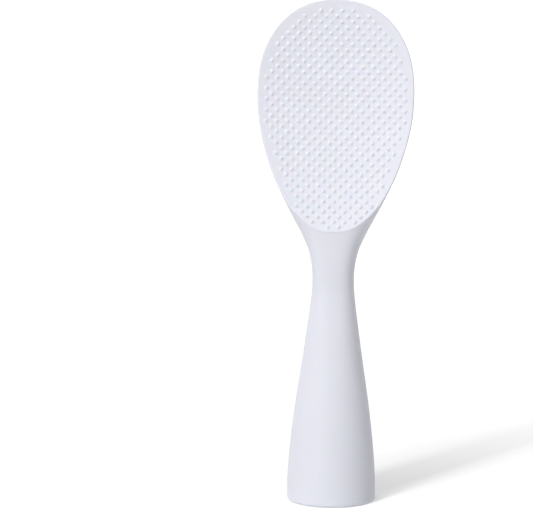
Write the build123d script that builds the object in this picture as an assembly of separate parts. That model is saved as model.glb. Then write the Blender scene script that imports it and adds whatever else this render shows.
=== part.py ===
from build123d import *
import math
import os

os.makedirs("parts", exist_ok=True)

# A rice paddle that stands upright on the wide foot of its handle. It leans its dimpled,
# scooped blade back to +Y, so the scooped face looks to -Y. +Z is up, and the origin is the
# centre of the foot on the surface that the paddle stands on.
# Lengths are in millimetres and angles in degrees.

# Handle, outside
foot_radius = 18.05
foot_corner_radius = 1.5
neck_radius = 8.57
neck_height = 91.0

# Height up the handle as a share of the neck's height, and how much of the swell from the
# neck to the foot is there
handle_shares = [
    (0.0, 1.0),
    (0.088, 1.0),
    (0.182, 0.953),
    (0.329, 0.821),
    (0.476, 0.642),
    (0.622, 0.436),
    (0.768, 0.241),
    (0.914, 0.058),
    (1.0, 0.0),
]

# Scooped face, a patch of a large sphere that starts at the lip above the neck
scoop_radius = 252.0
lip_height = 113.0
lip_forward = 8.2
lip_lean = 28.0
lip_edge_radius = 0.4

# Blade, measured along the face from the lip
blade_length = 96.4
widest_length = 58.5
blade_half_width = 32.4
tip_outline_power = 2.22

# Blade, measured square to the face
lip_depth = 9.0
lip_thickness = 19.5
blade_thickness = 3.4
tip_thickness = 2.3
tip_edge_length = 1.8

# Neck sections between the handle and the lip. Each row holds the share of the way up from
# the neck to the lip's section, the share of the lip's lean, and the half-width, the depth to
# the front and the depth to the back as shares of the neck's radius.
neck_shares = [
    (0.34, 0.30, 1.035, 0.998, 1.039),
    (0.68, 0.66, 1.175, 1.018, 1.116),
]

# Sections from the lip to the widest place. Each row holds the distance along the face as a
# share of the length to the widest place, the half-width as a share of the blade's, and the
# thickness as a share of the lip's. The last share says how far the section's widest line
# lies behind the face, of the lip's depth, and is left out where the face meets that line.
lower_blade_shares = [
    (0.0, 0.375, 1.0, 1.0),
    (0.060, 0.437, 0.893, 0.778),
    (0.120, 0.506, 0.788, 0.556),
    (0.176, 0.568, 0.695, 0.344),
    (0.236, 0.632, 0.606, 0.133),
    (0.291, 0.684, 0.533, 0.0),
    (0.342, 0.731, 0.474, None),
    (0.444, 0.808, 0.379, None),
    (0.547, 0.871, 0.309, None),
    (0.650, 0.923, 0.256, None),
    (0.752, 0.963, 0.219, None),
    (0.855, 0.989, 0.194, None),
]

# How full the front and back halves of a section are: 2 is an ellipse, more is squarer
round_power = 2.0
neck_front_power = 2.7
lip_front_power = 3.0
blade_back_power = 2.3

# Points round each section, the sections from the widest place to the tip, and how far short
# of the tip the last of them stays
section_points = 32
tip_sections = 11
tip_end_length = 0.152

# Dimples of the face: low domes in staggered rows that lie a little further apart at the tip
dimple_radius = 0.85
dimple_height = 0.55
dimple_pitch = 4.37
lip_row_gap = 2.17
tip_row_gap = 2.33
first_row_length = 1.9

# Least distance from a dimple's centre to the face's edge, tested in so many directions
lip_margin = 1.6
side_margin = 3.0
tip_margin = 3.9
margin_directions = 12

# Hollow of the handle
cap_bore_radius = 14.8
cap_bore_height = 24.0
handle_wall = 2.2

# Ribs inside the handle that hold the weight down
rib_count = 4
rib_thickness = 1.4
rib_inner_radius = 8.0
rib_gap = 0.1

# Cap that closes the foot, a cup that snaps into the bore
cap_recess = 0.5
cap_floor = 2.0
cap_height = 11.5
cup_radius = 12.0
cap_clearance = 0.15
cap_corner = 0.5

# Snap bead round the cap, and the slack of its groove in the bore
bead_height = 8.5
bead_length = 1.2
bead_reach = 0.4
bead_taper = 0.35
bead_clearance = 0.1

# Seal in the cap's groove, squeezed flat against the bore
seal_groove_height = 4.4
seal_groove_length = 2.2
seal_groove_depth = 1.3
seal_end_gap = 0.15
seal_slack = 0.02
seal_corner_radius = 0.6

# Ballast weight in the cap's cup
weight_clearance = 0.2
weight_above_cap = 0.4
weight_corner = 0.5

overrun = 1.0

# Heights and radii of the pieces that nest in the foot
cap_radius = cap_bore_radius - cap_clearance
cap_top = cap_recess + cap_height
cup_floor = cap_recess + cap_floor
weight_top = cap_top + weight_above_cap
groove_bottom = cap_recess + seal_groove_height
groove_top = groove_bottom + seal_groove_length
groove_radius = cap_radius - seal_groove_depth
bead_bottom = cap_recess + bead_height
bead_top = bead_bottom + bead_length


def scoop_centre():
    """Centre of the sphere that the face is a patch of."""
    lean = math.radians(lip_lean)
    y = -lip_forward - scoop_radius * math.cos(lean)
    z = lip_height + scoop_radius * math.sin(lean)
    return Vector(0, y, z)


def face_lean(along):
    """Lean of the face from upright at a distance up its centre line, in radians."""
    return math.radians(lip_lean) - along / scoop_radius


def into_blade(across, along):
    """Direction straight into the blade at a place across and along its face."""
    side = across / scoop_radius
    lean = face_lean(along)
    return Vector(math.sin(side), math.cos(side) * math.cos(lean), -math.cos(side) * math.sin(lean))


def face_point(along, behind):
    """Point on the face's centre line, or behind it."""
    return scoop_centre() + into_blade(0, along) * (scoop_radius + behind)


def quarter_share(turn, power):
    """Shares of the full reach across and forward at a turn round a section."""
    across = math.copysign(abs(math.cos(turn)) ** (2 / power), math.cos(turn))
    forward = math.copysign(abs(math.sin(turn)) ** (2 / power), math.sin(turn))
    return across, forward


def section(centre, lean, half_width, front, back, front_power, back_power):
    """Closed smooth section that is level across and leans back."""
    points = []
    for step in range(section_points):
        turn = 2 * math.pi * step / section_points - math.pi / 2
        if math.sin(turn) > 0:
            across, forward = quarter_share(turn, front_power)
            depth = front * forward
        else:
            across, forward = quarter_share(turn, back_power)
            depth = back * forward
        step_out = Vector(half_width * across, -depth * math.cos(lean), depth * math.sin(lean))
        points.append(centre + step_out)
    ways = [step / section_points for step in range(section_points + 1)]
    return Wire(Edge.make_spline(points, periodic=True, parameters=ways))


def handle_radii():
    """Height and radius of the handle at each of its sections."""
    radii = []
    for height_share, swell_share in handle_shares:
        radius = neck_radius + (foot_radius - neck_radius) * swell_share
        radii.append((neck_height * height_share, radius))
    return radii


def handle_sections():
    """Sections from the round foot to the neck, which is a little flatter in front."""
    wires = []
    for height, radius in handle_radii():
        centre = Vector(0, 0, height)
        front_power = round_power + (neck_front_power - round_power) * (height / neck_height) ** 2
        wires.append(section(centre, 0, radius, radius, radius, front_power, round_power))
    return wires


def neck_sections():
    """Sections that tilt back and widen from the neck to the lip."""
    neck = Vector(0, 0, neck_height)
    lip = face_point(0, lip_depth)
    wires = []
    for way_share, lean_share, width_share, front_share, back_share in neck_shares:
        centre = neck + (lip - neck) * way_share
        lean = math.radians(lip_lean) * lean_share
        width = neck_radius * width_share
        front = neck_radius * front_share
        back = neck_radius * back_share
        front_power = neck_front_power + (lip_front_power - neck_front_power) * way_share
        wires.append(section(centre, lean, width, front, back, front_power, round_power))
    return wires


def widest_line_behind(half_width):
    """How far behind the face the widest line lies where the face runs out to it."""
    return -(half_width**2) / (2 * scoop_radius)


def blade_rows():
    """Along, half-width, thickness and widest line behind the face, from the lip to the tip."""
    rows = []
    for along_share, width_share, thickness_share, behind_share in lower_blade_shares:
        half_width = blade_half_width * width_share
        if behind_share is None:
            behind = widest_line_behind(half_width)
        else:
            behind = lip_depth * behind_share
        along = widest_length * along_share
        rows.append((along, half_width, lip_thickness * thickness_share, behind))
    tip_length = blade_length - widest_length
    last_turn = math.asin((1 - tip_end_length / tip_length) ** (tip_outline_power / 2))
    for step in range(tip_sections):
        across, up = quarter_share(last_turn * step / (tip_sections - 1), tip_outline_power)
        along = widest_length + tip_length * up
        half_width = blade_half_width * across
        edge_share = min(1.0, (blade_length - along) / tip_edge_length)
        thickness = blade_thickness + (tip_thickness - blade_thickness) * up
        thickness *= math.sqrt(1 - (1 - edge_share) ** 2)
        rows.append((along, half_width, thickness, widest_line_behind(half_width)))
    return rows


def blade_sections():
    """Sections square to the face, from the lip to the tip."""
    wires = []
    for along, half_width, thickness, behind in blade_rows():
        centre = face_point(along, behind)
        lean = face_lean(along)
        back = thickness - behind
        front = lip_depth if behind > 0 else back
        powers = (lip_front_power, blade_back_power)
        wires.append(section(centre, lean, half_width, front, back, *powers))
    return wires


def on_face(across, along):
    """Whether a place lies within the outline of the scooped face."""
    rows = blade_rows()
    for low, high in zip(rows, rows[1:]):
        if low[0] <= along <= high[0]:
            way = (along - low[0]) / (high[0] - low[0])
            half_width = low[1] + (high[1] - low[1]) * way
            behind = low[3] + (high[3] - low[3]) * way
            if behind > 0:
                chord = 1 - (behind / lip_depth) ** lip_front_power
                half_width *= chord ** (1 / lip_front_power)
            return abs(across) <= half_width
    return False


def clear_of_edge(across, along, margin):
    """Whether a place keeps the margin to the face's edge all round."""
    for step in range(margin_directions):
        turn = 2 * math.pi * step / margin_directions
        if not on_face(across + margin * math.cos(turn), along + margin * math.sin(turn)):
            return False
    return True


def margin_at(along):
    """Least distance from a dimple's centre to the face's edge, at a distance from the lip."""
    if along < widest_length:
        return lip_margin + (side_margin - lip_margin) * min(1.0, along / lip_thickness)
    way = (along - widest_length) / (blade_length - widest_length)
    return side_margin + (tip_margin - side_margin) * way


def dimple_rows():
    """Distances along the face of the rows of dimples, from the lip to the tip."""
    rows = []
    along = first_row_length
    while along < blade_length:
        rows.append(along)
        along += lip_row_gap + (tip_row_gap - lip_row_gap) * along / blade_length
    return rows


def dimple_places():
    """Places of the dimples, across and along the face, in staggered rows."""
    places = []
    side_count = int(blade_half_width / dimple_pitch) + 1
    for row, along in enumerate(dimple_rows()):
        shift = dimple_pitch / 2 if row % 2 == 0 else 0
        for side in range(-side_count, side_count + 1):
            across = shift + dimple_pitch * side
            if clear_of_edge(across, along, margin_at(along)):
                places.append((across, along))
    return places


def dimpled(body):
    """The body with its scooped face pierced at each dimple and closed there by a dome."""
    ball_radius = (dimple_radius**2 + dimple_height**2) / (2 * dimple_height)
    ball_reach = scoop_radius + ball_radius - dimple_height
    ring_reach = (ball_reach**2 + scoop_radius**2 - ball_radius**2) / (2 * ball_reach)
    ring_radius = math.sqrt(scoop_radius**2 - ring_reach**2)
    ring_latitude = math.degrees(math.asin((ball_reach - ring_reach) / ball_radius))
    rings = []
    domes = []
    for across, along in dimple_places():
        inward = into_blade(across, along)
        ring_plane = Plane(scoop_centre() + inward * ring_reach, x_dir=(1, 0, 0), z_dir=inward)
        rings.append(Wire(Edge.make_circle(ring_radius, ring_plane)))
        ball_plane = Plane(scoop_centre() + inward * ball_reach, x_dir=(1, 0, 0), z_dir=-inward)
        dome = Solid.make_sphere(ball_radius, ball_plane, ring_latitude, 90, 360)
        domes += dome.faces().filter_by(GeomType.SPHERE)
    face = body.faces().filter_by(GeomType.SPHERE).sort_by(SortBy.AREA)[-1]
    others = [other for other in body.faces() if not other.is_same(face)]
    return Solid(Shell([face.make_holes(rings)] + others + domes))


def outer_form():
    """Handle, neck and blade as one form, with the scooped face cut and its edges rounded."""
    form = Solid.make_loft(handle_sections() + neck_sections() + blade_sections())
    scoop = Pos(*scoop_centre()) * Sphere(scoop_radius)
    form = (form - scoop).solid()
    face = form.faces().filter_by(GeomType.SPHERE)[0]
    form = form.fillet(lip_edge_radius, face.edges())
    foot = form.faces().filter_by(GeomType.PLANE).sort_by(Axis.Z)[0]
    return form.fillet(foot_corner_radius, foot.edges())


def rib_plates():
    """Plates that stand round the handle's hollow, from above the weight to its neck."""
    bottom = weight_top + rib_gap
    length = foot_radius - rib_inner_radius
    plates = []
    for turn in range(rib_count):
        plate = Pos(rib_inner_radius + length / 2, 0, (bottom + neck_height) / 2) * Box(
            length, rib_thickness, neck_height - bottom
        )
        plates.append(Rot(0, 0, 360 * (turn + 0.5) / rib_count) * plate)
    return plates


def handle_hollow():
    """Space inside the handle: the cap's bore, the snap groove and the tapered core."""
    taper = [(cap_bore_radius, cap_bore_height)]
    for height, radius in handle_radii():
        if height > cap_bore_height:
            taper.append((radius - handle_wall, height))
    end_radius, end_height = taper[-1]
    wall = Spline(*[Vector(r, 0, z) for r, z in taper], tangents=[(0, 0, 1), (0, 0, 1)])
    dome = ThreePointArc(
        (end_radius, 0, end_height),
        (end_radius * math.sqrt(0.5), 0, end_height + end_radius * math.sqrt(0.5)),
        (0, 0, end_height + end_radius),
    )
    rest = Polyline(
        (0, 0, end_height + end_radius),
        (0, 0, -overrun),
        (cap_bore_radius, 0, -overrun),
        (cap_bore_radius, 0, cap_bore_height),
    )
    core = revolve(Face(Wire([*wall.edges(), *dome.edges(), *rest.edges()])), Axis.Z)
    groove_length = bead_length + 2 * bead_clearance
    groove = Pos(0, 0, (bead_bottom + bead_top) / 2) * Cylinder(
        cap_radius + bead_reach + bead_clearance, groove_length
    )
    return core - rib_plates() + groove


def paddle_body():
    """Blade, neck and hollow handle, moulded in one piece."""
    return dimpled((outer_form() - handle_hollow()).solid())


def base_cap():
    """Cup that closes the foot, with a groove for the seal and a bead that snaps in."""
    profile = Polyline(
        (0, 0, cap_recess),
        (cap_radius - cap_corner, 0, cap_recess),
        (cap_radius, 0, cap_recess + cap_corner),
        (cap_radius, 0, groove_bottom),
        (groove_radius, 0, groove_bottom),
        (groove_radius, 0, groove_top),
        (cap_radius, 0, groove_top),
        (cap_radius, 0, bead_bottom),
        (cap_radius + bead_reach, 0, bead_bottom + bead_taper),
        (cap_radius + bead_reach, 0, bead_top - bead_taper),
        (cap_radius, 0, bead_top),
        (cap_radius, 0, cap_top - cap_corner),
        (cap_radius - cap_corner, 0, cap_top),
        (cup_radius, 0, cap_top),
        (cup_radius, 0, cup_floor),
        (0, 0, cup_floor),
        close=True,
    )
    return revolve(Face(Wire(profile.edges())), Axis.Z)


def cap_seal():
    """Soft ring in the cap's groove, flattened between the groove and the bore."""
    inner = groove_radius + seal_slack
    outer = cap_bore_radius - seal_slack
    ring_section = Plane.XZ * Pos((inner + outer) / 2, (groove_bottom + groove_top) / 2) * (
        RectangleRounded(outer - inner, seal_groove_length - 2 * seal_end_gap, seal_corner_radius)
    )
    return revolve(ring_section, Axis.Z)


def ballast_weight():
    """Steel slug that sits on the cup's floor and keeps the paddle upright."""
    height = weight_top - cup_floor
    slug = Pos(0, 0, cup_floor + height / 2) * Cylinder(cup_radius - weight_clearance, height)
    return chamfer(slug.edges(), weight_corner)


export_step(paddle_body(), "parts/paddle_body.step")
export_step(base_cap(), "parts/base_cap.step")
export_step(cap_seal(), "parts/cap_seal.step")
export_step(ballast_weight(), "parts/ballast_weight.step")
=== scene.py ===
import math
import bmesh
import bpy
import numpy as np
from mathutils import Matrix, Vector


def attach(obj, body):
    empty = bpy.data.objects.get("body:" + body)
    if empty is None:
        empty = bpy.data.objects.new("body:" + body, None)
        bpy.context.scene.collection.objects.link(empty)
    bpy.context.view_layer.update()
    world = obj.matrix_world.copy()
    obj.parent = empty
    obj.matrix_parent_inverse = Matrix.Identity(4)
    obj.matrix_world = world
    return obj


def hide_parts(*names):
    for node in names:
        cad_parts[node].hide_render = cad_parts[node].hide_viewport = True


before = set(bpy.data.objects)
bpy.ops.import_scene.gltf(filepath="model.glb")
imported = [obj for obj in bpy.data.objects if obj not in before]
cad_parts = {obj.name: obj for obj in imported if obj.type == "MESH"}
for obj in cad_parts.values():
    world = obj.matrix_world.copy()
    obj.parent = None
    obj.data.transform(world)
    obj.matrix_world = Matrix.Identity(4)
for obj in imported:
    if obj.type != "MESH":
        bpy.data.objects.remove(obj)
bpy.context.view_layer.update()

# A white rice paddle that stands on the wide foot of its handle, with its scooped face to -Y.
# Lengths are in metres, and the paddle's are written in millimetres times MM. Angles are in
# degrees, but turns and the least angle of a corner are in radians.
MM = 0.001
quarter_turn = math.pi / 2

# Handle, outside
foot_radius = 18.05 * MM
foot_corner_radius = 1.5 * MM
neck_radius = 8.57 * MM
neck_height = 91.0 * MM

# Height as a share of the neck's height, and how much of the swell to the foot is there
handle_shares = [
    (0.0, 1.0),
    (0.088, 1.0),
    (0.182, 0.953),
    (0.329, 0.821),
    (0.476, 0.642),
    (0.622, 0.436),
    (0.768, 0.241),
    (0.914, 0.058),
    (1.0, 0.0),
]

# Scooped face and blade
scoop_radius = 252.0 * MM
lip_height = 113.0 * MM
lip_forward = 8.2 * MM
lip_lean = 28.0
blade_length = 96.4 * MM
widest_length = 58.5 * MM
blade_half_width = 32.4 * MM
tip_outline_power = 2.22
lip_depth = 9.0 * MM
lip_thickness = 19.5 * MM
blade_thickness = 3.4 * MM
tip_thickness = 2.3 * MM
tip_edge_length = 1.8 * MM

# Rounded edge round the face, at the lip and the tip and halfway along the sides
lip_edge_radius = 0.45 * MM
side_edge_radius = 0.6 * MM

# Way up from the neck to the lip, share of the lip's lean, then half-width, depth to the
# front and depth to the back as shares of the neck's radius
neck_shares = [
    (0.34, 0.30, 1.035, 0.998, 1.039),
    (0.68, 0.66, 1.175, 1.018, 1.116),
]

# Way from the lip to the widest place, half-width as a share of the blade's, thickness as a
# share of the lip's, and how far the widest line lies behind the face as a share of the lip's
# depth, left out where the face meets that line
lower_blade_shares = [
    (0.0, 0.375, 1.0, 1.0),
    (0.060, 0.437, 0.893, 0.778),
    (0.120, 0.506, 0.788, 0.556),
    (0.176, 0.568, 0.695, 0.344),
    (0.236, 0.632, 0.606, 0.133),
    (0.291, 0.684, 0.533, 0.0),
    (0.342, 0.731, 0.474, None),
    (0.444, 0.808, 0.379, None),
    (0.547, 0.871, 0.309, None),
    (0.650, 0.923, 0.256, None),
    (0.752, 0.963, 0.219, None),
    (0.855, 0.989, 0.194, None),
]

# How full the front and back halves of a section are: 2 is an ellipse, more is squarer
round_power = 2.0
neck_front_power = 2.7
lip_front_power = 3.0
blade_back_power = 2.3

# Stations past the widest place that only guide the curves through it
guide_stations = 3
guide_gap = 6.0 * MM

# Dimples: low domes with a softly filleted foot, in staggered rows that lie a little further
# apart at the tip
dimple_radius = 1.02 * MM
dimple_height = 0.55 * MM
dimple_fullness = 2.6
dimple_pitch = 4.37 * MM
lip_row_gap = 2.17 * MM
tip_row_gap = 2.33 * MM
first_row_length = 1.9 * MM

# Least distance from a dimple's centre to the face's edge, tested in so many directions
lip_margin = 1.6 * MM
side_margin = 3.0 * MM
tip_margin = 3.9 * MM
margin_directions = 12

# Hollow of the handle, and the groove in it that the cap's bead snaps into
cap_bore_radius = 14.8 * MM
cap_bore_height = 24.0 * MM
bore_edge_radius = 0.25 * MM
handle_wall = 2.2 * MM
cap_recess = 0.5 * MM
cap_clearance = 0.15 * MM
bead_height = 8.5 * MM
bead_length = 1.2 * MM
bead_reach = 0.4 * MM
bead_clearance = 0.1 * MM

# Mesh fineness: rings up the handle, the neck and the blade, columns round half a section,
# columns across half the face, steps round the face's edge, steps round a corner, rings of the
# hollow's dome, how far a ring that keeps a flat place flat lies from its corner, and how close
# two points are when they become one
handle_rings = 64
neck_rings = 36
blade_rings = 480
half_columns = 36
half_face_columns = 110
edge_steps = 5
corner_steps = 6
dome_rings = 10
edge_support = 0.12 * MM
weld_gap = 0.001 * MM

# Searches and slopes: how often a search halves its range, how far above the lip and how far
# short of the tip it looks, how far short of the tip the face is tested, the steps along and
# round that a slope is taken over, the least angle of a corner, and how close to the middle a
# point is when it is put there
halving_steps = 50
lip_search_length = 0.5 * MM
tip_search_gap = 0.05 * MM
face_test_gap = 0.1 * MM
slope_step = 0.01 * MM
slope_turn = 0.001
least_angle = 1e-6
middle_gap = 0.0001 * MM

# Materials: colours, least and most roughness, how light goes into them, the sizes of their
# clouds and grain, the grain's depth, the turned rings of the steel, and the range of the noise
body_dark = (0.83, 0.84, 0.92)
body_light = (0.86, 0.87, 0.95)
cap_dark = (0.82, 0.82, 0.885)
cap_light = (0.85, 0.85, 0.91)
steel_dark = (0.5, 0.5, 0.52)
steel_light = (0.64, 0.64, 0.66)
silicone_dark = (0.68, 0.69, 0.72)
silicone_light = (0.74, 0.75, 0.78)
body_roughness = (0.42, 0.5)
cap_roughness = (0.46, 0.56)
steel_roughness = (0.28, 0.4)
silicone_roughness = (0.6, 0.72)
plastic_refraction = 1.49
plastic_translucence = 0.1
silicone_translucence = 0.2
glow_depth = 1.0 * MM
cloud_size = 22.0 * MM
cloud_detail = 3
grain_size = 0.35 * MM
grain_detail = 2
grain_depth = 0.01 * MM
grain_strength = 0.25
turning_pitch = 0.4 * MM
turning_waver = 0.4
noise_low = 0.3
noise_high = 0.7

# Studio: how far the floor reaches, its white as it lights the paddle and as it is seen, its glow
# where it is seen, which grows to full white over a distance from the foot, the light all round,
# the point that the lamps look at, and the lamps as azimuth, elevation, distance, width, height,
# power and colour
floor_reach = 3.0
floor_white = (0.93, 0.93, 0.93)
floor_seen_white = (0.7, 0.7, 0.7)
floor_glow_colour = (1.0, 1.0, 1.0)
floor_glow = 0.43
floor_fade_start = 0.0
floor_fade_end = 0.9
ambient_strength = 0.215
lit_point = (0.0, 0.0, 0.1)
key_light = (-30.5, 52.0, 4.0, 0.15, 7.0, 155.0, (1.0, 1.0, 1.0))
back_light = (-140.0, 35.0, 4.0, 1.6, 1.6, 16.0, (1.0, 1.0, 1.0))

# Camera: the picture's size, where the middle of the foot falls in it, its scale, the view, and
# the sensor's width in millimetres
picture_width = 533
picture_height = 508
foot_pixel = (330.8, 498.9)
pixel_size = 0.4115 * MM
camera_distance = 2.5
camera_azimuth = 2.0
camera_elevation = 10.0
camera_roll = 0.5
camera_reach = 20.0
sensor_width = 36.0


def scoop_centre():
    """Centre of the sphere that the face is a patch of."""
    lean = math.radians(lip_lean)
    y = -lip_forward - scoop_radius * math.cos(lean)
    z = lip_height + scoop_radius * math.sin(lean)
    return np.array([0.0, y, z])


def into_blade(across, along):
    """Directions straight into the blade at places across and along its face."""
    side = across / scoop_radius
    lean = math.radians(lip_lean) - along / scoop_radius
    parts = (np.sin(side), np.cos(side) * np.cos(lean), -np.cos(side) * np.sin(lean))
    return np.stack(np.broadcast_arrays(*parts), axis=-1)


def face_point(along, behind):
    """Point on the face's centre line, or behind it."""
    return scoop_centre() + into_blade(0.0, along) * (scoop_radius + behind)


def widest_line_behind(half_width):
    """How far behind the face the widest line lies where the face runs out to it."""
    return -(half_width**2) / (2 * scoop_radius)


def smooth_curve(places, values):
    """Curve through values at places, smooth to its second slope, as its second slopes."""
    count = len(places)
    gaps = np.diff(places)
    matrix = np.zeros((count, count))
    right = np.zeros(count)
    matrix[0, 0] = matrix[-1, -1] = 1
    for i in range(1, count - 1):
        matrix[i, i - 1] = gaps[i - 1]
        matrix[i, i] = 2 * (gaps[i - 1] + gaps[i])
        matrix[i, i + 1] = gaps[i]
        rise = (values[i + 1] - values[i]) / gaps[i] - (values[i] - values[i - 1]) / gaps[i - 1]
        right[i] = 6 * rise
    return np.linalg.solve(matrix, right)


def on_curve(places, values, bends, at):
    """Values of a smooth curve at the places asked for."""
    i = np.clip(np.searchsorted(places, at) - 1, 0, len(places) - 2)
    gap = places[i + 1] - places[i]
    low = (places[i + 1] - at) / gap
    high = (at - places[i]) / gap
    curve = low * values[i] + high * values[i + 1]
    return curve + ((low**3 - low) * bends[i] + (high**3 - high) * bends[i + 1]) * gap**2 / 6


def station_rows():
    """Sections from the foot to a little past the widest place, each as the place along, then
    y, z, lean, half-width, depth to the front and back, and the powers of both halves."""
    lip = face_point(0.0, lip_depth)
    neck = np.array([0.0, 0.0, neck_height])
    neck_length = float(np.linalg.norm(lip - neck))
    lean = math.radians(lip_lean)
    rows = []
    for height_share, swell_share in handle_shares:
        radius = neck_radius + (foot_radius - neck_radius) * swell_share
        height = neck_height * height_share
        place = height - neck_height - neck_length
        power = round_power + (neck_front_power - round_power) * height_share**2
        rows.append((place, 0, height, 0, radius, radius, radius, power, round_power))
    for way, lean_share, width_share, front_share, back_share in neck_shares:
        centre = neck + (lip - neck) * way
        power = neck_front_power + (lip_front_power - neck_front_power) * way
        depths = (neck_radius * front_share, neck_radius * back_share)
        width = neck_radius * width_share
        place = (way - 1) * neck_length
        rows.append((place, *centre[1:], lean * lean_share, width, *depths, power, round_power))
    widest_shares = (1.0, 1.0, blade_thickness / lip_thickness, None)
    blade_shares = [*lower_blade_shares, widest_shares]
    for way, width_share, thickness_share, behind_share in blade_shares:
        width = blade_half_width * width_share
        behind = widest_line_behind(width) if behind_share is None else lip_depth * behind_share
        place = widest_length * way
        centre = face_point(place, behind)
        back = lip_thickness * thickness_share - behind
        front = lip_depth if behind > 0 else back
        tilt = lean - place / scoop_radius
        powers = (lip_front_power, blade_back_power)
        rows.append((place, *centre[1:], tilt, width, front, back, *powers))
    for step in range(1, guide_stations + 1):
        place = widest_length + guide_gap * step
        rows.append((place, *upper_shape(np.array(place))))
    return np.array(rows, float)


def upper_shape(along):
    """Centre, lean, half-width, depths and powers from the widest place to the tip."""
    up = np.clip((along - widest_length) / (blade_length - widest_length), 0, 1)
    power = tip_outline_power
    width = blade_half_width * np.maximum(1 - up**power, 0) ** (1 / power)
    edge_share = np.clip((blade_length - along) / tip_edge_length, 0, 1)
    thickness = blade_thickness + (tip_thickness - blade_thickness) * up
    thickness = thickness * np.sqrt(1 - (1 - edge_share) ** 2)
    behind = widest_line_behind(width)
    centre = face_point(along, behind[..., None])
    lean = math.radians(lip_lean) - along / scoop_radius
    depth = thickness - behind
    front_power = np.full_like(depth, lip_front_power)
    back_power = np.full_like(depth, blade_back_power)
    return [centre[..., 1], centre[..., 2], lean, width, depth, depth, front_power, back_power]


stations = station_rows()
station_places = stations[:, 0]
station_values = stations[:, 1:].T.copy()
station_bends = [smooth_curve(station_places, values) for values in station_values]


def section_shape(along):
    """Centre, lean, half-width, depths and powers of the sections at places along."""
    low = np.minimum(along, widest_length)
    lower = [
        on_curve(station_places, values, bends, low)
        for values, bends in zip(station_values, station_bends)
    ]
    upper = upper_shape(np.maximum(along, widest_length))
    return [np.where(along > widest_length, high, base) for high, base in zip(upper, lower)]


def outer_points(along, turn):
    """Points of the outer form. Turns go from the back over the side, at zero, to the front."""
    y, z, lean, width, front, back, front_power, back_power = section_shape(along)
    forward = turn > 0
    power = np.where(forward, front_power, back_power)
    depth = np.where(forward, front, back)
    across = np.sign(np.cos(turn)) * np.abs(np.cos(turn)) ** (2 / power)
    reach = np.sign(turn) * np.abs(np.sin(turn)) ** (2 / power) * depth
    return np.stack([width * across, y - reach * np.cos(lean), z + reach * np.sin(lean)], axis=-1)


def unit(vectors):
    """Vectors brought to a length of one."""
    return vectors / np.linalg.norm(vectors, axis=-1, keepdims=True)


def outer_normals(along, turn):
    """Outward normals of the outer form."""
    up = outer_points(along + slope_step, turn) - outer_points(along - slope_step, turn)
    around = outer_points(along, turn + slope_turn) - outer_points(along, turn - slope_turn)
    return unit(np.cross(up, around))


def edge_radius(along):
    """Radius of the rounded edge round the face: smallest at the lip and at the tip."""
    way = np.clip(along / blade_length, 0, 1)
    return lip_edge_radius + (side_edge_radius - lip_edge_radius) * np.sqrt(4 * way * (1 - way))


def edge_centres(along, turn):
    """Centres of a ball that rolls inside the outer form and touches it there."""
    reach = np.asarray(edge_radius(along))[..., None]
    return outer_points(along, turn) - reach * outer_normals(along, turn)


def clear_of_scoop(along, turn):
    """How far that ball is from the scooped face: below zero, the scoop cuts it."""
    reach = np.linalg.norm(edge_centres(along, turn) - scoop_centre(), axis=-1)
    return reach - scoop_radius - edge_radius(along)


def where_clear_ends(test, low, high):
    """Where a test that holds at low stops holding on the way to high."""
    for _ in range(halving_steps):
        middle = (low + high) / 2
        holds = test(middle) > 0
        low = np.where(holds, middle, low)
        high = np.where(holds, high, middle)
    return (low + high) / 2


def on_face(across, along):
    """Whether places lie within the outline of the scooped face."""
    y, z, _, width, front, *_ = section_shape(np.clip(along, 0, blade_length - face_test_gap))
    centre = np.stack([np.zeros_like(y), y, z], axis=-1)
    behind = np.linalg.norm(centre - scoop_centre(), axis=-1) - scoop_radius
    chord = 1 - (np.clip(behind, 0, front) / front) ** lip_front_power
    half_width = width * chord ** (1 / lip_front_power)
    return (along >= 0) & (along <= blade_length) & (np.abs(across) <= half_width)


def margin_at(along):
    """Least distance from a dimple's centre to the face's edge, at distances from the lip."""
    low = lip_margin + (side_margin - lip_margin) * np.minimum(1, along / lip_thickness)
    way = np.maximum(0, along - widest_length) / (blade_length - widest_length)
    return low + (tip_margin - side_margin) * way


def dimple_rows():
    """Distances along the face of the rows of dimples, from the lip to the tip."""
    rows = []
    along = first_row_length
    while along < blade_length:
        rows.append(along)
        along += lip_row_gap + (tip_row_gap - lip_row_gap) * along / blade_length
    return np.array(rows)


def dimple_places():
    """Places of the dimples, across and along the face, in staggered rows."""
    rows = dimple_rows()
    side_count = int(blade_half_width / dimple_pitch) + 1
    row, side = np.meshgrid(np.arange(len(rows)), np.arange(-side_count, side_count + 1))
    along = rows[row]
    across = dimple_pitch * side + np.where(row % 2 == 0, dimple_pitch / 2, 0)
    margin = margin_at(along)
    clear = np.ones_like(along, bool)
    for turn in np.linspace(0, math.tau, margin_directions, endpoint=False):
        clear &= on_face(across + margin * math.cos(turn), along + margin * math.sin(turn))
    return across[clear], along[clear]


def face_height(across, along):
    """Height of the face's dimples at places on it."""
    height = np.zeros(np.broadcast(across, along).shape)
    for centre_across, centre_along in zip(*dimple_places()):
        low = np.searchsorted(along[:, 0], centre_along - dimple_radius)
        high = np.searchsorted(along[:, 0], centre_along + dimple_radius)
        rows = slice(low, high)
        gap = np.hypot(across[rows] - centre_across, along[rows] - centre_along)
        share = np.clip(gap / dimple_radius, 0, 1)
        height[rows] += dimple_height * (1 - share**dimple_fullness) ** 2
    return height


def mirrored(points):
    """The points' mirror images in the plane between the left and right halves."""
    return points * np.array([-1, 1, 1])


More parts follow.
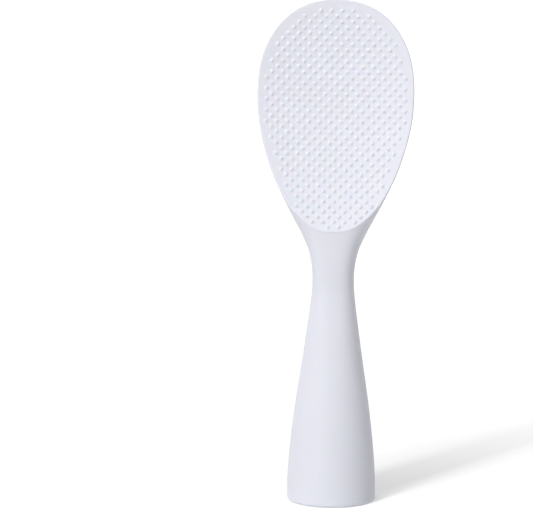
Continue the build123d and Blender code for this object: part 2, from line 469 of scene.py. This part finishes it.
def round_edges(centres, radius, start, end):
    """Points round the face's edge from start to end, about the ball's centres."""
    first = unit(start - centres)
    last = unit(end - centres)
    cosine = np.clip(np.sum(first * last, axis=-1, keepdims=True), -1, 1)
    angle = np.maximum(np.arccos(cosine), least_angle)
    columns = []
    for step in range(1, edge_steps + 1):
        way = step / edge_steps
        mix = (np.sin((1 - way) * angle) * first + np.sin(way * angle) * last) / np.sin(angle)
        columns.append(centres + radius * mix)
    return np.stack(columns, axis=1)


def ring_places():
    """Places of the rings from the foot to the blade's tip, and the place of the lip's edge."""
    neck_place = station_places[len(handle_shares) - 1]
    foot_place = station_places[0] + foot_corner_radius
    front = np.array(quarter_turn)
    lip_place = where_clear_ends(
        lambda along: clear_of_scoop(along, front), neck_place, lip_search_length
    )
    tip_place = where_clear_ends(
        lambda along: clear_of_scoop(along, -front), widest_length, blade_length - tip_search_gap
    )
    handle = np.linspace(foot_place, neck_place, handle_rings, endpoint=False)
    neck = np.linspace(neck_place, lip_place, neck_rings, endpoint=False)
    ease = (1 - np.cos(math.pi * np.linspace(0, 1, blade_rings + 1))) / 2
    blade = lip_place + (tip_place - lip_place) * ease
    return np.concatenate([handle, neck, blade]), lip_place


def dimpled_face(inward, start, closed):
    """Points of the face between its edges. Rings that it doesn't reach are closed by their
    foremost point."""
    side = np.arcsin(inward[:, 0])
    lean = np.arctan2(-inward[:, 2], inward[:, 1])
    edge_along = (math.radians(lip_lean) - lean) * scoop_radius
    edge_across = side * scoop_radius
    shares = np.linspace(1, -1, 2 * half_face_columns + 1)[1:-1]
    reached = ~closed
    across = (edge_across[:, None] * shares)[reached]
    along = np.repeat(edge_along[:, None], len(shares), axis=1)[reached]
    height = face_height(across, along)
    face = np.repeat(start[:, None], len(shares), axis=1)
    face[reached] = scoop_centre() + into_blade(across, along) * (scoop_radius - height)[..., None]
    return face


def body_rings():
    """Rings of points from the foot to the blade's tip, all with as many columns: the outside's
    right half, the face's right edge, the face, its left edge, and the outside's left half."""
    along, lip_place = ring_places()
    closed = along < lip_place
    front = np.full(along.shape, quarter_turn)
    cut = where_clear_ends(lambda turn: clear_of_scoop(along, turn), -front, front)
    cut[closed] = quarter_turn
    cut[np.argmin(np.abs(along - lip_place))] = quarter_turn
    cut[-1] = -quarter_turn
    ways = np.linspace(0, 1, half_columns + 1)
    turns = -quarter_turn + (cut[:, None] + quarter_turn) * ways
    right = outer_points(along[:, None], turns)
    start = right[:, -1]
    radius = edge_radius(along)[:, None]
    centres = start - radius * outer_normals(along, cut)
    inward = unit(centres - scoop_centre())
    end = scoop_centre() + scoop_radius * inward
    edge = round_edges(centres, radius, start, end)
    edge[closed] = start[closed][:, None]
    face = dimpled_face(inward, start, closed)
    for columns in (right, edge, face):
        columns[np.abs(columns[..., 0]) < middle_gap, 0] = 0
    other_edge = mirrored(edge[:, ::-1])
    left = mirrored(right[:, :0:-1])
    return np.concatenate([right, edge, face, other_edge, left], axis=1)


def outer_corner(radius, height, reach):
    """Radius and height of points round the foot's corner, but for its first point."""
    turns = np.linspace(0, quarter_turn, corner_steps + 1)[1:]
    return [(radius + reach * math.cos(t), height - reach * math.sin(t)) for t in turns]


def hollow_profile():
    """Radius and height of the rings from the foot's corner, up the bore, to the hollow's top."""
    bead_foot = cap_recess + bead_height - bead_clearance
    bead_head = bead_foot + bead_length + 2 * bead_clearance
    groove_radius = cap_bore_radius - cap_clearance + bead_reach + bead_clearance
    inner_corner = foot_radius - foot_corner_radius
    bore_corner = cap_bore_radius + bore_edge_radius
    rings = outer_corner(inner_corner, foot_corner_radius, foot_corner_radius)
    rings += [(inner_corner - edge_support, 0), (bore_corner + edge_support, 0), (bore_corner, 0)]
    for turn in np.linspace(0, quarter_turn, corner_steps + 1)[1:]:
        radius = bore_corner - bore_edge_radius * math.sin(turn)
        rings.append((radius, bore_edge_radius * (1 - math.cos(turn))))
    rings += [
        (cap_bore_radius, bead_foot),
        (groove_radius, bead_foot),
        (groove_radius, bead_head),
        (cap_bore_radius, bead_head),
        (cap_bore_radius, cap_bore_height),
    ]
    for height_share, swell_share in handle_shares:
        height = neck_height * height_share
        if height > cap_bore_height:
            radius = neck_radius + (foot_radius - neck_radius) * swell_share
            rings.append((radius - handle_wall, height))
    end_radius, end_height = rings[-1]
    for turn in np.linspace(0, quarter_turn, dome_rings + 1)[1:]:
        rings.append((end_radius * math.cos(turn), end_height + end_radius * math.sin(turn)))
    return np.array(rings)


def make_body():
    """The blade, neck and handle as one closed skin."""
    outside = body_rings()
    level = np.array([1, 1, 0])
    around = outside[0] * level / foot_radius
    inside = [around * radius + np.array([0, 0, height]) for radius, height in hollow_profile()]
    rings = np.concatenate([np.array(inside[::-1]), outside])
    ring_count, column_count = rings.shape[:2]
    row, column = np.meshgrid(np.arange(ring_count - 1), np.arange(column_count), indexing="ij")
    next_column = (column + 1) % column_count
    low = row * column_count
    high = low + column_count
    corners = [low + column, low + next_column, high + next_column, high + column]
    faces = np.stack(corners, axis=-1).reshape(-1, 4)
    mesh = bpy.data.meshes.new("rice_paddle_body")
    mesh.from_pydata(rings.reshape(-1, 3).tolist(), [], faces.tolist())
    skin = bmesh.new()
    skin.from_mesh(mesh)
    bmesh.ops.remove_doubles(skin, verts=skin.verts, dist=weld_gap)
    bmesh.ops.recalc_face_normals(skin, faces=skin.faces)
    skin.to_mesh(mesh)
    skin.free()
    mesh.shade_smooth()
    piece = bpy.data.objects.new("rice_paddle_body", mesh)
    bpy.context.scene.collection.objects.link(piece)
    return piece


def new_material(name):
    """A material with its nodes, its shader and the coordinates of the object."""
    material = bpy.data.materials.new(name)
    material.use_nodes = True
    tree = material.node_tree
    shader = tree.nodes["Principled BSDF"]
    place = tree.nodes.new("ShaderNodeTexCoord").outputs["Object"]
    return material, tree, shader, place


def noise(tree, place, grain, detail):
    """Noise whose spots are about as large as grain."""
    node = tree.nodes.new("ShaderNodeTexNoise")
    node.inputs["Scale"].default_value = 1 / grain
    node.inputs["Detail"].default_value = detail
    tree.links.new(place, node.inputs["Vector"])
    return node.outputs["Fac"]


def spread(tree, value, low, high):
    """A value from 0 to 1 spread between two others."""
    node = tree.nodes.new("ShaderNodeMapRange")
    node.inputs["From Min"].default_value = noise_low
    node.inputs["From Max"].default_value = noise_high
    node.inputs["To Min"].default_value = low
    node.inputs["To Max"].default_value = high
    tree.links.new(value, node.inputs["Value"])
    return node.outputs["Result"]


def shades(tree, value, dark, light):
    """Colours between dark and light by a value from 0 to 1."""
    node = tree.nodes.new("ShaderNodeMix")
    node.data_type = "RGBA"
    node.inputs["A"].default_value = (*dark, 1)
    node.inputs["B"].default_value = (*light, 1)
    tree.links.new(value, node.inputs["Factor"])
    return node.outputs["Result"]


def bumps(tree, height, shader, depth, strength):
    """Fine relief of the surface by a height from 0 to 1."""
    node = tree.nodes.new("ShaderNodeBump")
    node.inputs["Distance"].default_value = depth
    node.inputs["Strength"].default_value = strength
    tree.links.new(height, node.inputs["Height"])
    tree.links.new(node.outputs["Normal"], shader.inputs["Normal"])


def grained(name, dark, light, roughness, translucence):
    """A material with faint clouds, a fine grain and some light in its skin."""
    material, tree, shader, place = new_material(name)
    cloud = noise(tree, place, cloud_size, cloud_detail)
    grain = noise(tree, place, grain_size, grain_detail)
    tree.links.new(shades(tree, cloud, dark, light), shader.inputs["Base Color"])
    tree.links.new(spread(tree, cloud, *roughness), shader.inputs["Roughness"])
    bumps(tree, grain, shader, grain_depth, grain_strength)
    shader.inputs["Subsurface Weight"].default_value = translucence
    shader.inputs["Subsurface Scale"].default_value = glow_depth
    return material


def moulded_plastic(name, dark, light, roughness):
    """Satin plastic with the fine grain of its mould."""
    material = grained(name, dark, light, roughness, plastic_translucence)
    shader = material.node_tree.nodes["Principled BSDF"]
    shader.inputs["IOR"].default_value = plastic_refraction
    return material


def turned_steel(name):
    """Steel turned on a lathe, with fine rings about its axis."""
    material, tree, shader, place = new_material(name)
    rings = tree.nodes.new("ShaderNodeTexWave")
    rings.wave_type = "RINGS"
    rings.rings_direction = "Z"
    rings.inputs["Scale"].default_value = 1 / turning_pitch
    rings.inputs["Distortion"].default_value = turning_waver
    tree.links.new(place, rings.inputs["Vector"])
    height = rings.outputs["Fac"]
    tree.links.new(shades(tree, height, steel_dark, steel_light), shader.inputs["Base Color"])
    cloud = noise(tree, place, cloud_size, cloud_detail)
    tree.links.new(spread(tree, cloud, *steel_roughness), shader.inputs["Roughness"])
    bumps(tree, height, shader, grain_depth, grain_strength)
    shader.inputs["Metallic"].default_value = 1.0
    return material


def seen_directly(tree):
    """1 for what the camera sees itself or in a reflection or through glass, else 0."""
    path = tree.nodes.new("ShaderNodeLightPath")
    total = path.outputs["Is Camera Ray"]
    for name in ("Is Glossy Ray", "Is Transmission Ray"):
        node = tree.nodes.new("ShaderNodeMath")
        node.operation = "MAXIMUM"
        tree.links.new(total, node.inputs[0])
        tree.links.new(path.outputs[name], node.inputs[1])
        total = node.outputs["Value"]
    return total


def make_floor():
    """A plain white floor that keeps the paddle's shadow and fades to plain white beyond it."""
    mesh = bpy.data.meshes.new("floor")
    reach = floor_reach
    corners = [(-reach, -reach, 0), (reach, -reach, 0), (reach, reach, 0), (-reach, reach, 0)]
    mesh.from_pydata(corners, [], [(0, 1, 2, 3)])
    floor = bpy.data.objects.new("floor", mesh)
    bpy.context.scene.collection.objects.link(floor)
    material, tree, shader, place = new_material("floor_white")
    seen = seen_directly(tree)
    colour = shades(tree, seen, floor_white, floor_seen_white)
    tree.links.new(colour, shader.inputs["Base Color"])
    shader.inputs["Roughness"].default_value = 1.0
    shader.inputs["Specular IOR Level"].default_value = 0.0
    distance = tree.nodes.new("ShaderNodeVectorMath")
    distance.operation = "LENGTH"
    tree.links.new(place, distance.inputs[0])
    fade = tree.nodes.new("ShaderNodeMapRange")
    fade.inputs["From Min"].default_value = floor_fade_start
    fade.inputs["From Max"].default_value = floor_fade_end
    fade.inputs["To Min"].default_value = floor_glow
    fade.inputs["To Max"].default_value = 1.0
    tree.links.new(distance.outputs["Value"], fade.inputs["Value"])
    glow = tree.nodes.new("ShaderNodeMath")
    glow.operation = "MULTIPLY"
    tree.links.new(fade.outputs["Result"], glow.inputs[1])
    tree.links.new(seen, glow.inputs[0])
    shader.inputs["Emission Color"].default_value = (*floor_glow_colour, 1)
    tree.links.new(glow.outputs["Value"], shader.inputs["Emission Strength"])
    floor.data.materials.append(material)


def make_world():
    """White all round, plain white where it is seen and dimmer as light."""
    world = bpy.data.worlds.new("studio")
    bpy.context.scene.world = world
    world.use_nodes = True
    tree = world.node_tree
    background = tree.nodes["Background"]
    background.inputs["Color"].default_value = (1, 1, 1, 1)
    node = tree.nodes.new("ShaderNodeMapRange")
    node.inputs["To Min"].default_value = ambient_strength
    node.inputs["To Max"].default_value = 1.0
    tree.links.new(seen_directly(tree), node.inputs["Value"])
    tree.links.new(node.outputs["Result"], background.inputs["Strength"])


def way_to(azimuth, elevation):
    """Direction from the paddle: an azimuth of 0 is straight in front, and a positive one to
    the right."""
    turn = math.radians(azimuth)
    rise = math.radians(elevation)
    across = math.sin(turn) * math.cos(rise)
    return Vector((across, -math.cos(turn) * math.cos(rise), math.sin(rise)))


def make_light(name, azimuth, elevation, distance, width, height, power, colour):
    """A soft lamp that looks at the paddle from a direction and a distance."""
    direction = way_to(azimuth, elevation)
    lamp = bpy.data.lights.new(name, "AREA")
    lamp.shape = "RECTANGLE"
    lamp.size = width
    lamp.size_y = height
    lamp.energy = power
    lamp.color = colour
    holder = bpy.data.objects.new(name, lamp)
    holder.location = Vector(lit_point) + direction * distance
    holder.rotation_euler = direction.to_track_quat("Z", "Y").to_euler()
    bpy.context.scene.collection.objects.link(holder)


def make_camera():
    """Camera that puts the foot on its pixel of the picture, at the picture's scale."""
    turn = math.radians(camera_azimuth)
    roll = math.radians(camera_roll)
    level_right = Vector((math.cos(turn), math.sin(turn), 0))
    back = way_to(camera_azimuth, camera_elevation)
    level_up = back.cross(level_right)
    right = level_right * math.cos(roll) + level_up * math.sin(roll)
    up = level_up * math.cos(roll) - level_right * math.sin(roll)
    across = (foot_pixel[0] - picture_width / 2) * pixel_size
    down = (foot_pixel[1] - picture_height / 2) * pixel_size
    target = up * down - right * across
    camera = bpy.data.cameras.new("camera")
    camera.sensor_width = sensor_width
    camera.lens = sensor_width * camera_distance / (picture_width * pixel_size)
    camera.clip_end = camera_reach
    holder = bpy.data.objects.new("camera", camera)
    place = target + back * camera_distance
    axes = Matrix((right, up, back)).transposed().to_4x4()
    holder.matrix_world = Matrix.Translation(place) @ axes
    bpy.context.scene.collection.objects.link(holder)
    bpy.context.scene.camera = holder


body = make_body()
body_white = moulded_plastic("body_white", body_dark, body_light, body_roughness)
body.data.materials.append(body_white)
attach(body, "root")
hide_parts("paddle_body")

cap_white = moulded_plastic("cap_white", cap_dark, cap_light, cap_roughness)
seal_grey = grained(
    "seal_grey", silicone_dark, silicone_light, silicone_roughness, silicone_translucence
)
node_materials = {
    "base_cap": cap_white,
    "cap_seal": seal_grey,
    "ballast_weight": turned_steel("weight_steel"),
}
for node, material in node_materials.items():
    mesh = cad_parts[node].data
    mesh.materials.clear()
    mesh.materials.append(material)

make_floor()
make_world()
make_light("key", *key_light)
make_light("back", *back_light)
make_camera()
bpy.context.scene.view_settings.view_transform = "Standard"
